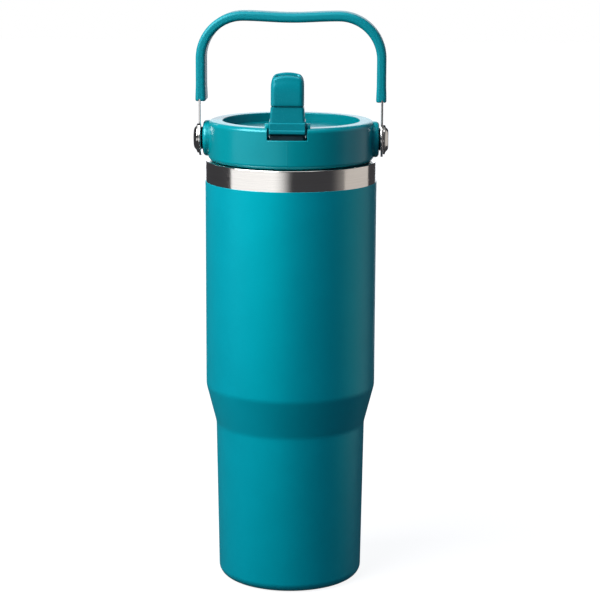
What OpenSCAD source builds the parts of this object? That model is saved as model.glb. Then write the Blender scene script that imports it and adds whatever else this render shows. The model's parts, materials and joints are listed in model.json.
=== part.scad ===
// Insulated water bottle with a screw lid, a flip spout with a straw and a swinging carry handle.
// Millimetres, +Z up. The origin is the middle of the base, and the spout is at the front (-Y).
// Rest state: lid screwed down, spout up, handle up.

/* [Body] */
// Diameter of the painted body above the taper
body_d = 88.2; // [88:0.1:90]
// Diameter where the taper ends and the narrow foot starts
foot_d = 77.8; // [77:0.1:79]
// Diameter of the foot at the floor, before its corner is rounded
base_d = 75.1; // [74.8:0.1:76]
// Height of the lower end of the taper
taper_low_z = 83.3; // [70:0.1:90]
// Height of the upper end of the taper
taper_high_z = 103.6; // [100:0.1:115]
// Height where the paint stops and the bare steel band starts
paint_z = 210.8; // [207:0.1:214]
// Height of the steel rim
rim_z = 221.4; // [219:0.1:224]
// Radius of the rounded corner at the floor
corner_r = 5; // [4:0.5:6]

/* [Walls] */
// Thickness of the powder coat
paint_t = 0.25; // [0.2:0.05:0.3]
// Thickness of the outer steel wall
shell_t = 0.7; // [0.5:0.1:0.8]
// Width of the vacuum gap between the two steel walls
vacuum_gap = 1.8; // [1.8:0.1:2]
// Thickness of the inner steel wall
liner_t = 0.6; // [0.5:0.1:0.7]
// Height of the inside floor
liner_floor_z = 7.2; // [7:0.1:10]

/* [Lid] */
// Outer diameter of the lid
lid_d = 85.2; // [84.6:0.1:86]
// Height of the lid above its lower edge
lid_h = 20.5; // [20.3:0.1:21.2]
// Diameter of the dished recess in the top
recess_d = 70.2; // [69:0.1:71]
// Depth of the recess
recess_depth = 4.4; // [4.2:0.1:4.8]
// Width of the notch and channel that hold the spout
notch_w = 19.8; // [19.6:0.1:20]
// Height of the notch floor above the lid's lower edge
notch_floor_h = 14.6; // [14.4:0.1:14.8]
// Depth of the threaded plug below the lid's lower edge
plug_depth = 19.1; // [18.8:0.1:20]

/* [Screw thread] */
// Number of thread starts
thread_starts = 3; // [2:1:3]
// Rise of the lid in one turn
thread_lead = 12; // [11.5:0.5:13]
// Angle that each thread start covers
thread_span = 240; // [200:10:240]
// Number of lugs in each thread start
thread_lugs = 5; // [5:1:6]

/* [Spout] */
// Radius of the hinge barrel
barrel_r = 4.6; // [4.4:0.1:4.7]
// Length of the hinge barrel
barrel_w = 18; // [17.6:0.1:18.2]
// Width of the spout's arm
arm_w = 17.2; // [16.8:0.1:17.4]
// Width of the mouthpiece
mouth_w = 16.4; // [15.8:0.1:16.6]
// Height of the spout above its hinge
spout_h = 27.2; // [25:0.1:27.4]
// Radius of the drinking bore
bore_r = 2.3; // [2:0.1:2.4]

/* [Straw] */
// Distance of the straw from the bottle's middle
straw_y = 27; // [25:0.5:27.5]
// Outer radius of the straw
straw_r = 4.4; // [4.2:0.1:4.5]
// Height of the straw's open lower end
straw_foot_z = 12; // [11:0.5:15]

/* [Handle] */
// Distance from the middle to the outer face of each arm
arm_reach = 48.4; // [48.3:0.1:48.8]
// Height of the grip's top above the pivot
handle_h = 64.9; // [64:0.1:66]
// Radius of the grip's outer corners
handle_corner_r = 24; // [20:0.5:25]
// Sag of the top bar at its middle
handle_dip = 0.8; // [0.5:0.1:1.5]
// Thickness of the grip
grip_t = 4.8; // [4.6:0.1:5]
// Width of the grip, front to back
grip_w = 15; // [14:0.5:16]
// Thickness of the steel strap
strap_t = 1.16; // [1:0.02:1.2]
// Width of the steel strap
strap_w = 12; // [11:0.5:12.5]

/* [Pivots] */
// Outer radius of the round bosses on the lid
boss_r = 9.2; // [9:0.1:9.4]
// Distance from the middle to the face of each boss
boss_x = 45.1; // [45:0.1:45.2]
// Height of the pivots above the lid's lower edge
pivot_h = 10.8; // [10.6:0.1:11]
// Radius of the bolt head
head_r = 7.7; // [7:0.1:8]

/* [Hidden] */
$fn = 128;
FILLET_STEPS = 8;
FIT = 0.02;
RUN = 0.05;
BIG = 200;

// Body radii and levels
body_r = body_d / 2;
foot_r = foot_d / 2;
base_r = base_d / 2;
taper_blend_r = 24;
steel_t = paint_t + shell_t;
liner_out = steel_t + vacuum_gap;
liner_in = liner_out + liner_t;
neck_r = body_r - liner_in;
rim_round = 1.5;
ring_r = 31;
cup_z = steel_t + FIT;
cup_t = 0.7;
dish_r = 9;
dish_rise = 2;
seal_hole_r = 1.2;

// Lid levels
lid_gap = 0.2;
lid_z = rim_z + lid_gap;
lid_r = lid_d / 2;
lid_top_z = lid_z + lid_h;
recess_r = recess_d / 2;
recess_z = lid_top_z - recess_depth;
notch_z = lid_z + notch_floor_h;
deck_under_z = recess_z - 7.4;
plug_r = neck_r - 2.25;
plug_in_r = plug_r - 2.5;
plug_top_z = lid_z + 4.4;
plug_bottom_z = lid_z - plug_depth;
plug_floor_t = 2;
gasket_groove_r = plug_r - 0.9;
gasket_low_z = lid_z - 4.8;
gasket_high_z = lid_z - 1;

// Thread ridges: the lid's and the neck's ridges lie half a pitch apart
thread_pitch = thread_lead / thread_starts;
thread_low_z = plug_bottom_z + 1.8;
thread_root_half = 0.95;
thread_crest_half = 0.45;
male_crest_r = plug_r + 1.6;
female_crest_r = neck_r - 1.45;
thread_overlap = 0.25;
lug_angle = thread_span / thread_lugs - 9;

// Spout hinge
hinge_y = -36.9;
hinge_z = notch_z + 6.2;
hinge_pin_r = 1.1;
hinge_pin_len = 4.2;
hinge_pin_end_x = notch_w / 2 + 0.9;
hinge_ear_r = 1.9;
hinge_ear_gap = 0.1;
hinge_ear_end_x = notch_w / 2 + 1.4;
step_h = 10.2;
arm_front = -4.1;
mouth_front = -4.9;
arm_back = 3.2;
channel_end_y = hinge_y + spout_h + 4;

// Drinking duct
seal_half_w = 8.7;
seal_half_d = 3.6;
seal_corner = 1.2;
seal_foot_z = notch_z - 1.6;
seal_top_z = hinge_z - 3.9;
duct_z = notch_z - 5.3;
socket_top_z = lid_z + 5.4;
socket_low_z = lid_z + 0.6;
stem_r = 4;
stem_bore_r = 2.4;
stem_neck_r = straw_r - 1.15;
stem_end_z = plug_bottom_z - 13;
straw_top_z = plug_bottom_z - 1.5;
vent_y = 12;
vent_r = 1.5;

// Handle and pivots
pivot_z = lid_z + pivot_h;
washer_r = 5.75;
washer_x = boss_x + FIT;
washer_t = 0.76;
strap_x = washer_x + washer_t + 0.04;
shoulder_r = 3.94;
strap_hole_r = shoulder_r + RUN + 0.01;
head_x = strap_x + strap_t + 0.04;
head_t = 2.9;
head_rim_t = 1;
screw_r = 2.45;
insert_r = 3.5;
insert_x = boss_x - 7.4;
grip_z = pivot_z + 19.4;
grip_mid = arm_reach - grip_t / 2;
grip_slit = 1.7;
strap_mid = strap_x + strap_t / 2;
corner_x = arm_reach - handle_corner_r;
corner_z = pivot_z + handle_h - handle_corner_r;
strap_end_r = 9;

TEAL = [0.0, 0.58, 0.63];
STEEL = [0.80, 0.79, 0.77];
DARK = [0.10, 0.11, 0.12];
CLEAR = [0.85, 0.92, 0.93, 0.6];

// ---- outlines ----

function unit(v) = v / norm(v);

// The points of one rounded corner b between a and c, each given as [x, y, radius]
function corner_arc(a, b, c) =
    let (p = [b[0], b[1]], r = is_undef(b[2]) ? 0 : b[2])
    r == 0 ? [p] :
    let (
        u = unit([a[0], a[1]] - p),
        v = unit([c[0], c[1]] - p),
        half = acos(u * v) / 2,
        centre = p + unit(u + v) * r / sin(half),
        from = p + u * r / tan(half) - centre,
        to = p + v * r / tan(half) - centre,
        a0 = atan2(from[1], from[0]),
        turn = atan2(to[1], to[0]) - a0,
        sweep = turn > 180 ? turn - 360 : turn < -180 ? turn + 360 : turn
    )
    [for (i = [0:FILLET_STEPS])
        let (angle = a0 + sweep * i / FILLET_STEPS)
        centre + r * [cos(angle), sin(angle)]];

// A closed outline with its corners rounded
function rounded(corners) =
    let (n = len(corners))
    [for (i = [0:n - 1]) each corner_arc(corners[(i + n - 1) % n], corners[i], corners[(i + 1) % n])];

function reversed(list) = [for (i = [len(list) - 1:-1:0]) list[i]];

// The bottle's side from the floor corner to the end of the taper, set in by a distance
function side(inset, corner, floor_z) = [
    [base_r - inset, floor_z, corner],
    [foot_r - inset, taper_low_z, taper_blend_r],
    [body_r - inset, taper_high_z, taper_blend_r]
];

module turned(corners) {
    rotate_extrude() polygon(rounded(corners));
}

// A turned shape whose axis runs along +X or -X, with its profile given as [radius, x]
module turned_x(side_sign, corners) {
    rotate([0, side_sign * 90, 0]) turned(corners);
}

// ---- vessel ----

module powder_coat() {
    color(TEAL)
    turned(concat(
        [[ring_r, 0]],
        side(0, corner_r, 0),
        [[body_r, paint_z], [body_r - paint_t + FIT, paint_z]],
        reversed(side(paint_t - FIT, corner_r - paint_t + FIT, paint_t - FIT)),
        [[ring_r, paint_t - FIT]]
    ));
}

module outer_shell() {
    color(STEEL)
    turned(concat(
        [[ring_r, paint_t]],
        side(paint_t, corner_r - paint_t, paint_t),
        [
            [body_r - paint_t, rim_z, rim_round],
            [body_r - liner_out + FIT, rim_z],
            [body_r - liner_out + FIT, rim_z - shell_t],
            [body_r - steel_t, rim_z - shell_t, rim_round - shell_t]
        ],
        reversed(side(steel_t, corner_r - steel_t, steel_t)),
        [[ring_r, steel_t]]
    ));
}

module inner_liner() {
    color(STEEL)
    union() {
        turned(concat(
            [[0, liner_floor_z - liner_t]],
            side(liner_out, corner_r + 3.6, liner_floor_z - liner_t),
            [[body_r - liner_out, rim_z], [neck_r, rim_z, 0.3]],
            reversed(side(liner_in, corner_r + 3, liner_floor_z)),
            [[0, liner_floor_z]]
        ));
        thread(neck_r + thread_overlap, female_crest_r, thread_low_z + thread_pitch / 2);
    }
}

module base_cup() {
    color(STEEL)
    turned([
        [seal_hole_r, cup_z + dish_rise],
        [dish_r, cup_z + dish_rise, 0.8],
        [dish_r + 1, cup_z, 0.8],
        [base_r - corner_r, cup_z],
        [base_r - corner_r, cup_z + cup_t],
        [dish_r + 2, cup_z + cup_t, 0.8],
        [dish_r + 1, cup_z + dish_rise + cup_t, 0.8],
        [seal_hole_r, cup_z + dish_rise + cup_t]
    ]);
}

module base_cover() {
    color(STEEL)
    turned([
        [0, 0.45],
        [ring_r - 0.1, 0.45, 0.2],
        [ring_r - 0.1, 0.95],
        [0, 0.95]
    ]);
}

module vacuum_seal() {
    bead_r = 4;
    color(DARK)
    turned([
        [0, cup_z + 0.5],
        [bead_r, cup_z + 0.5, 0.4],
        [bead_r, cup_z + dish_rise - FIT, 0.4],
        [seal_hole_r - FIT, cup_z + dish_rise - FIT],
        [seal_hole_r - FIT, cup_z + dish_rise + cup_t + 0.3],
        [0, cup_z + dish_rise + cup_t + 0.3]
    ]);
}

module getter() {
    color(STEEL)
    translate([18, 0, cup_z + cup_t + FIT])
    turned([[0, 0], [5, 0], [5, 2, 0.5], [3.5, 2, 0.3], [3.5, 1.4], [0, 1.4]]);
}

// ---- screw thread ----

// One lug of the interrupted thread: a short ridge on a circle, tilted to the helix
module thread_lug(root_r, crest_r) {
    tilt = atan(thread_lead / (PI * (root_r + crest_r)));
    rotate([tilt, 0, 0])
    rotate([0, 0, -lug_angle / 2])
    rotate_extrude(angle = lug_angle)
    polygon([
        [root_r, -thread_root_half],
        [crest_r, -thread_crest_half],
        [crest_r, thread_crest_half],
        [root_r, thread_root_half]
    ]);
}

// Every start of a thread, as rows of lugs that climb with the helix
module thread(root_r, crest_r, low_z) {
    for (start = [0:thread_starts - 1], k = [0:thread_lugs - 1]) {
        along = (k + 0.5) * thread_span / thread_lugs;
        rotate([0, 0, 360 * start / thread_starts + along])
        translate([0, 0, low_z + thread_root_half + thread_lead * along / 360])
        thread_lug(root_r, crest_r);
    }
}

// ---- lid ----

module lid_gasket() {
    lip_r = neck_r - RUN;
    waist_r = lip_r - 0.8;
    color(DARK)
    turned([
        [gasket_groove_r + FIT, gasket_low_z + FIT],
        [lip_r, gasket_low_z + FIT, 0.4],
        [lip_r, gasket_low_z + 1.2, 0.4],
        [waist_r, gasket_low_z + 1.9, 0.3],
        [lip_r, gasket_high_z - 1.2, 0.4],
        [lip_r, gasket_high_z - FIT, 0.4],
        [gasket_groove_r + FIT, gasket_high_z - FIT]
    ]);
}

module boss(side_sign) {
    translate([0, 0, pivot_z])
    turned_x(side_sign, [
        [0, plug_r + 1],
        [boss_r, plug_r + 1],
        [boss_r, boss_x, 1.6],
        [0, boss_x]
    ]);
}

module duct_block() {
    duct_block_z = plug_top_z + 0.3;
    translate([-5.5, -37, duct_block_z]) cube([11, 16, deck_under_z + 0.4 - duct_block_z]);
    translate([0, -straw_y, socket_low_z]) cylinder(r = 6, h = deck_under_z - socket_low_z);
}

// The pad under the spout's barrel, seen from above
module seal_plan(gap) {
    w = seal_half_w + gap;
    d = seal_half_d + gap;
    r = seal_corner + gap;
    polygon(rounded([[-w, -d, r], [w, -d, r], [w, d, r], [-w, d, r]]));
}

module duct_bores() {
    translate([0, hinge_y, seal_foot_z]) linear_extrude(BIG) seal_plan(FIT);
    translate([0, hinge_y, duct_z]) cylinder(r = bore_r, h = seal_foot_z - duct_z + 1);
    translate([0, hinge_y, duct_z]) sphere(r = bore_r);
    translate([0, hinge_y, duct_z]) rotate([-90, 0, 0]) cylinder(r = bore_r, h = -straw_y - hinge_y);
    translate([0, -straw_y, duct_z]) sphere(r = bore_r);
    translate([0, -straw_y, socket_low_z]) cylinder(r = bore_r, h = duct_z - socket_low_z);
    translate([0, -straw_y, socket_low_z - 1])
        cylinder(r = stem_r + FIT, h = socket_top_z - socket_low_z + 1);
}

// The two ears that hold the hinge pins: a round eye on a web that stands on the notch floor
module hinge_ears() {
    ear_x = barrel_w / 2 + hinge_ear_gap;
    web_end_x = notch_w / 2 + 0.2;
    for (s = [-1, 1]) {
        translate([s * (ear_x + hinge_ear_end_x) / 2, hinge_y, hinge_z])
            rotate([0, 90, 0])
            cylinder(r = hinge_ear_r, h = hinge_ear_end_x - ear_x, center = true);
        translate([s * (ear_x + web_end_x) / 2, hinge_y, (notch_z - 0.2 + hinge_z) / 2])
            cube([web_end_x - ear_x, 2 * hinge_ear_r, hinge_z - notch_z + 0.2], center = true);
    }
}

module lid_cap() {
    color(TEAL)
    difference() {
        union() {
            difference() {
                union() {
                    turned([
                        [plug_r + FIT, lid_z],
                        [lid_r, lid_z, 2.6],
                        [lid_r, lid_top_z, 2.4],
                        [recess_r, lid_top_z, 0.8],
                        [recess_r, recess_z, 0.8],
                        [0, recess_z],
                        [0, deck_under_z],
                        [plug_in_r, deck_under_z, 1.5],
                        [plug_in_r, plug_top_z + FIT],
                        [plug_r + FIT, plug_top_z + FIT]
                    ]);
                    boss(-1);
                    boss(1);
                    duct_block();
                }
                translate([-notch_w / 2, -lid_r - 5, notch_z])
                    cube([notch_w, channel_end_y + lid_r + 5, BIG]);
            }
            hinge_ears();
        }
        duct_bores();
        translate([0, channel_end_y - 4, deck_under_z - 1]) cylinder(r = 0.8, h = BIG);
        for (s = [-1, 1]) {
            translate([0, 0, pivot_z])
            rotate([0, s * 90, 0])
            translate([0, 0, insert_x])
            cylinder(r = insert_r + FIT, h = BIG);
            translate([s * (barrel_w / 2 - 1), hinge_y, hinge_z])
            rotate([0, s * 90, 0])
            cylinder(r = hinge_pin_r + FIT, h = hinge_pin_end_x + FIT - barrel_w / 2 + 1);
        }
    }
}

module lid_plug() {
    color(TEAL)
    difference() {
        union() {
            turned([
                [0, plug_bottom_z],
                [plug_r, plug_bottom_z, 1.5],
                [plug_r, gasket_low_z],
                [gasket_groove_r, gasket_low_z],
                [gasket_groove_r, gasket_high_z],
                [plug_r, gasket_high_z],
                [plug_r, plug_top_z],
                [plug_in_r + FIT, plug_top_z],
                [plug_in_r + FIT, plug_bottom_z + plug_floor_t, 1],
                [0, plug_bottom_z + plug_floor_t]
            ]);
            thread(plug_r - thread_overlap, male_crest_r, thread_low_z);
        }
        translate([0, -straw_y, plug_bottom_z - 1]) cylinder(r = stem_r + FIT, h = plug_floor_t + 2);
        translate([0, vent_y, plug_bottom_z - 1]) cylinder(r = vent_r + FIT, h = plug_floor_t + 2);
        for (s = [-1, 1])
            translate([s * 3, vent_y, plug_bottom_z - 1]) cylinder(r = 0.7, h = plug_floor_t + 2);
    }
}

module straw_stem() {
    color(CLEAR)
    translate([0, -straw_y, 0])
    turned([
        [stem_bore_r, stem_end_z],
        [stem_neck_r, stem_end_z, 0.4],
        [stem_neck_r, straw_top_z + 0.3],
        [stem_r, straw_top_z + 0.3],
        [stem_r, socket_top_z - 0.05],
        [stem_bore_r, socket_top_z - 0.05]
    ]);
}

module straw() {
    color(CLEAR)
    translate([0, -straw_y, 0])
    turned([
        [stem_neck_r + FIT, straw_foot_z],
        [straw_r, straw_foot_z, 0.3],
        [straw_r, straw_top_z, 0.3],
        [stem_neck_r + FIT, straw_top_z]
    ]);
}

module vent_valve() {
    color(DARK)
    translate([0, vent_y, plug_bottom_z])
    turned([
        [0, -1.6],
        [4.6, -0.6, 0.3],
        [4.6, -FIT],
        [vent_r, -FIT],
        [vent_r, plug_floor_t + FIT],
        [vent_r + 0.8, plug_floor_t + FIT],
        [0.8, plug_floor_t + 3, 0.3],
        [0, plug_floor_t + 3]
    ]);
}

module spout_seal() {
    color(DARK)
    difference() {
        translate([0, hinge_y, seal_foot_z + FIT]) linear_extrude(seal_top_z - seal_foot_z) seal_plan(0);
        translate([0, hinge_y, hinge_z])
            rotate([0, 90, 0])
            cylinder(r = barrel_r + RUN, h = 30, center = true);
        translate([0, hinge_y, seal_foot_z - 1]) cylinder(r = bore_r, h = 30);
    }
}

module threaded_insert(side_sign) {
    color("goldenrod")
    translate([0, 0, pivot_z])
    turned_x(side_sign, [
        [screw_r + FIT, insert_x + FIT],
        [insert_r, insert_x + FIT],
        [insert_r, insert_x + 2.6],
        [insert_r - 0.5, insert_x + 3],
        [insert_r - 0.5, insert_x + 4],
        [insert_r, insert_x + 4.4],
        [insert_r, boss_x - 0.2],
        [screw_r + FIT, boss_x - 0.2]
    ]);
}

module insert_left() { threaded_insert(-1); }

module insert_right() { threaded_insert(1); }

module hinge_pin(side_sign) {
    color(STEEL)
    translate([side_sign * hinge_pin_end_x, hinge_y, hinge_z])
    rotate([0, -side_sign * 90, 0])
    turned([[0, 0], [hinge_pin_r, 0], [hinge_pin_r, hinge_pin_len, 0.3], [0, hinge_pin_len]]);
}

module hinge_pin_left() { hinge_pin(-1); }

module hinge_pin_right() { hinge_pin(1); }

// ---- spout ----

// Side view of the arm and mouthpiece above the hinge, front to the left
module spout_side() {
    polygon(rounded([
        [arm_front, 0],
        [arm_front, step_h, 0.3],
        [mouth_front, step_h + 0.6, 0.4],
        [mouth_front - 0.2, spout_h - 6, 6],
        [mouth_front + 1.4, spout_h - 0.4, 1.2],
        [arm_back - 0.6, spout_h - 0.4, 1.6],
        [arm_back, spout_h - 8, 6],
        [arm_back, 0]
    ]));
}

// Front view: the mouthpiece is narrower than the arm, and its top is domed
module spout_front() {
    dome_r = 16;
    shoulder = 4.6;
    intersection() {
        polygon(rounded([
            [-arm_w / 2, 0],
            [arm_w / 2, 0],
            [arm_w / 2, 4, 3],
            [mouth_w / 2, step_h, 3],
            [mouth_w / 2, spout_h, shoulder],
            [-mouth_w / 2, spout_h, shoulder],
            [-mouth_w / 2, step_h, 3],
            [-arm_w / 2, 4, 3]
        ]));
        translate([0, spout_h - dome_r]) circle(r = dome_r);
    }
}

module spout() {
    color(TEAL)
    translate([0, hinge_y, hinge_z])
    difference() {
        union() {
            rotate([0, 90, 0]) cylinder(r = barrel_r, h = barrel_w, center = true);
            intersection() {
                rotate([90, 0, 90]) linear_extrude(arm_w, center = true) spout_side();
                rotate([90, 0, 0]) linear_extrude(30, center = true) spout_front();
            }
        }
        translate([0, 0, -10]) cylinder(r = bore_r, h = 60);
        for (s = [-1, 1])
            translate([s * (barrel_w / 2 - 3), 0, 0])
            rotate([0, s * 90, 0])
            cylinder(r = hinge_pin_r + RUN, h = 10);
    }
}

// ---- handle pivots ----

module washer(side_sign) {
    color(DARK)
    translate([0, 0, pivot_z])
    turned_x(side_sign, [
        [shoulder_r + RUN, washer_x],
        [washer_r, washer_x],
        [washer_r, washer_x + washer_t],
        [shoulder_r + RUN, washer_x + washer_t]
    ]);
}

module washer_left() { washer(-1); }

module washer_right() { washer(1); }

module pivot_bolt(side_sign) {
    color(STEEL)
    translate([0, 0, pivot_z])
    turned_x(side_sign, [
        [0, insert_x + 0.6],
        [screw_r, insert_x + 0.6, 0.4],
        [screw_r, boss_x],
        [shoulder_r, boss_x],
        [shoulder_r, head_x],
        [head_r, head_x],
        [head_r, head_x + head_rim_t, 0.3],
        [head_r - 1.9, head_x + head_t, 2],
        [0, head_x + head_t]
    ]);
}

module pivot_bolt_left() { pivot_bolt(-1); }

module pivot_bolt_right() { pivot_bolt(1); }

// ---- handle ----

// The middle line of the grip or strap from the right arm to the left, seen from the front
function handle_path(mid_x, low_z) =
    let (
        r = mid_x - corner_x,
        arc_steps = 16,
        bar_steps = 20,
        right = concat(
            [[mid_x, low_z]],
            [for (i = [0:arc_steps])
                let (angle = 90 * i / arc_steps)
                [corner_x + r * cos(angle), corner_z + r * sin(angle)]]
        ),
        bar = [for (i = [1:bar_steps - 1])
            let (x = corner_x * (1 - 2 * i / bar_steps))
            [x, corner_z + r - handle_dip * (1 + cos(180 * x / corner_x)) / 2]]
    )
    concat(right, bar, [for (p = reversed(right)) [-p[0], p[1]]]);

// A band of even thickness along a path
function band(path, thick) =
    let (
        n = len(path),
        side_of = [for (i = [0:n - 1])
            let (t = unit(path[min(i + 1, n - 1)] - path[max(i - 1, 0)]))
            [t[1], -t[0]] * thick / 2]
    )
    concat(
        [for (i = [0:n - 1]) path[i] + side_of[i]],
        [for (i = [n - 1:-1:0]) path[i] - side_of[i]]
    );

module handle_bar(mid_x, low_z, thick, wide) {
    rotate([90, 0, 0]) linear_extrude(wide, center = true) polygon(band(handle_path(mid_x, low_z), thick));
}

module handle_strap() {
    color(STEEL)
    difference() {
        union() {
            handle_bar(strap_mid, pivot_z, strap_t, strap_w);
            for (s = [-1, 1])
                translate([s * strap_mid, 0, pivot_z])
                rotate([0, 90, 0])
                cylinder(r = strap_end_r, h = strap_t, center = true);
        }
        for (s = [-1, 1])
            translate([s * strap_mid, 0, pivot_z])
            rotate([0, 90, 0])
            cylinder(r = strap_hole_r, h = 5, center = true);
    }
}

module handle_grip() {
    color(TEAL)
    difference() {
        handle_bar(grip_mid, grip_z, grip_t, grip_w);
        handle_bar(strap_mid, grip_z - 1, strap_t + 2 * FIT, strap_w + 2 * FIT);
        for (s = [-1, 1])
            translate([s * strap_mid, 0, grip_z])
            rotate([0, 45, 0])
            cube([grip_slit, grip_w + 2, grip_slit], center = true);
    }
}

powder_coat();
outer_shell();
inner_liner();
base_cup();
base_cover();
vacuum_seal();
getter();
lid_gasket();
lid_cap();
lid_plug();
straw_stem();
straw();
vent_valve();
spout_seal();
insert_left();
insert_right();
hinge_pin_left();
hinge_pin_right();
spout();
washer_left();
washer_right();
pivot_bolt_left();
pivot_bolt_right();
handle_strap();
handle_grip();
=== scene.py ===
"""Looks of the insulated water bottle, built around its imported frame.

Shapes are written in millimetres and turned into metres when a mesh is made.
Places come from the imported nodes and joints; the small radii and reliefs are named below.
"""

import json
import math

import bmesh
import bpy
import numpy as np
from mathutils import Matrix, Vector


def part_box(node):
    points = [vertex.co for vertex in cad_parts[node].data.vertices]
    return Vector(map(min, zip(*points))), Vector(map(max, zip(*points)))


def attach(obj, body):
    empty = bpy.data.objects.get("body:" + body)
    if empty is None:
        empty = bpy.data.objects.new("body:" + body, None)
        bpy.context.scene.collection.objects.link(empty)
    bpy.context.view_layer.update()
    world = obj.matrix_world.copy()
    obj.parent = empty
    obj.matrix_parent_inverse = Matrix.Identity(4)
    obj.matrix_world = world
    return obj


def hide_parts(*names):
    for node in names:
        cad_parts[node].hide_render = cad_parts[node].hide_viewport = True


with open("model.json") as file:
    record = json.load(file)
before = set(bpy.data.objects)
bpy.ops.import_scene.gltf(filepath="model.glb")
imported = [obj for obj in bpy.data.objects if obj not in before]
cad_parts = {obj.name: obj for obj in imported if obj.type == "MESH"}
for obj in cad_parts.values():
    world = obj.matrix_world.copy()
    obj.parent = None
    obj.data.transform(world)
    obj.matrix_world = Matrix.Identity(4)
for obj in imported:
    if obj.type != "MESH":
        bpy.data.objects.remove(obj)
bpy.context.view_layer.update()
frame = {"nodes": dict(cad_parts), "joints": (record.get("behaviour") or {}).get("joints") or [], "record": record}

MM = 0.001

# ------------------------------------------------------------------ places from the frame


def low(node, axis):
    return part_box(node)[0]["xyz".index(axis)] / MM


def high(node, axis):
    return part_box(node)[1]["xyz".index(axis)] / MM


def joint_at(name):
    joint = next(j for j in frame["joints"] if j["name"] == name)
    return [c / MM for c in joint["pos_m"]]


body_r = high("powder_coat", "x")
paint_z = high("powder_coat", "z")
rim_z = high("outer_shell", "z")
steel_r = high("outer_shell", "x")
lid_z = low("lid_cap", "z")
lid_r = high("lid_cap", "y")
boss_x = high("lid_cap", "x")
_, hinge_y, hinge_z = joint_at("spout_flip")
_, _, pivot_z = joint_at("handle_swing")
bolt_x = high("pivot_bolt_right", "x")
bolt_r = high("pivot_bolt_right", "z") - pivot_z
washer_x0, washer_x1 = low("washer_right", "x"), high("washer_right", "x")
washer_r = high("washer_right", "z") - pivot_z
strap_x1 = high("handle_strap", "x")
strap_end_r = pivot_z - low("handle_strap", "z")
grip_x = high("handle_grip", "x")
grip_low_z = low("handle_grip", "z")
grip_top_z = high("handle_grip", "z")
grip_w = 2 * high("handle_grip", "y")
barrel_half = high("spout", "x")

# ------------------------------------------------------------------ shape numbers, mm

PAINT_T = 0.25
SHELL_T = 0.7
# the gap that is left between two pieces that fit together
FIT = 0.02
# the body's side: its radius at the floor and below the taper, and the taper itself
BASE_R, FOOT_R = 37.55, 38.9
TAPER_LOW_Z, TAPER_HIGH_Z, TAPER_BLEND = 83.3, 103.6, 12
CORNER_R = 5
RING_R, RING_EDGE_R = 31, 0.1
PAINT_EDGE_R = 0.12
RIM_ROUND = 0.55
VACUUM_GAP = 1.8

LID_TOP_Z = lid_z + 20.5
LID_EDGE_R, LID_FOOT_R = 2.4, 2.6
RECESS_R, RECESS_Z = 35.1, LID_TOP_Z - 4.4
RECESS_LIP_R = 0.6
# the groove round the foot of the recess wall
FOOT_GROOVE_W, FOOT_GROOVE_D, FOOT_GROOVE_R = 0.9, 0.5, 0.15
DECK_UNDER_Z, DECK_UNDER_R = RECESS_Z - 7.4, 1.5
PLUG_R, PLUG_IN_R, PLUG_TOP_Z = 38.5, 36.0, lid_z + 4.4
BOSS_R, BOSS_EDGE = 9.2, 1.8
# the notch in the lid's wall, and the channel behind it that takes the folded spout
NOTCH_HALF, NOTCH_Z, NOTCH_EDGE = 9.9, lid_z + 14.6, 0.4
CHANNEL_START_Y, CHANNEL_END_Y = -33.1, hinge_y + 31.2
# what is in front of this is the lid's outer wall
LID_FRONT_Y = -40
# the way of the drink: stem, duct across, and the bore under the spout
STRAW_Y = -27
STEM_BORE_R, STEM_BORE_Z = 4.02, lid_z + 5.4
BORE_R = 2.3
DUCT_Z = NOTCH_Z - 5.3
DUCT_HALF, DUCT_START_Y, DUCT_END_Y = 5.5, -37, -21
SOCKET_R, SOCKET_Z = 6, lid_z + 0.6
# the seal's pocket; the seal is a wide dark pad under the barrel whose dark colour is partly painted shade for the
# gap there
SEAL_HALF_W, SEAL_HALF_D, SEAL_CORNER = 8.72, 3.62, 1.2
SEAL_FOOT_Z = NOTCH_Z - 1.6
VENT_R, VENT_Y = 0.8, CHANNEL_END_Y - 4
INSERT_BORE_R, INSERT_X = 3.52, boss_x - 7.4
# the hinge's ears, their webs, and the feet that fill the floor beside the seal
EAR_R, EAR_IN_X, EAR_END_X = 1.9, barrel_half + 0.1, NOTCH_HALF + 1.4
HINGE_PIN_R, PIN_END_X = 1.1, NOTCH_HALF + 0.9
WEB_HALF, WEB_IN_X, WEB_OUT_X = 1.7, barrel_half + 0.12, NOTCH_HALF + 0.3
WEB_LOW_Z, WEB_TOP_Z = NOTCH_Z - 0.3, hinge_z - 1.2
FOOT_IN_X, FOOT_OUT_X = SEAL_HALF_W + FIT, NOTCH_HALF + 0.2
FOOT_LOW_Z, FOOT_TOP_Z = NOTCH_Z - 0.2, NOTCH_Z + 1.2
# how far a cutting tool reaches past what it cuts
PAST = 5
ABOVE_Z = LID_TOP_Z + 9

GRIP_T = 4.8
GRIP_CORNER_R = 24
# the grip's bar sags a little in the middle
GRIP_DIP = 0.8
GRIP_EDGE = 1.7
STRAP_T = 1.16
STRAP_W = 12

# how finely corners and turned shapes are drawn
ROUND_STEPS = 7
TURNS = 256
SMALL_TURNS = 48

# metres: points this close are merged in a new shape, in a finished one and round a bevel
SAME_POINT, WELD_GAP, CUT_GAP = 1e-7, 1e-6, 2e-6
# degrees: the edges that a bevel takes, and the edges that stay sharp when they are shaded
SHARP_ANGLE, SHADE_ANGLE, FINE_SHADE_ANGLE = 30, 32, 40

# ------------------------------------------------------------------ outlines and meshes


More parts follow.
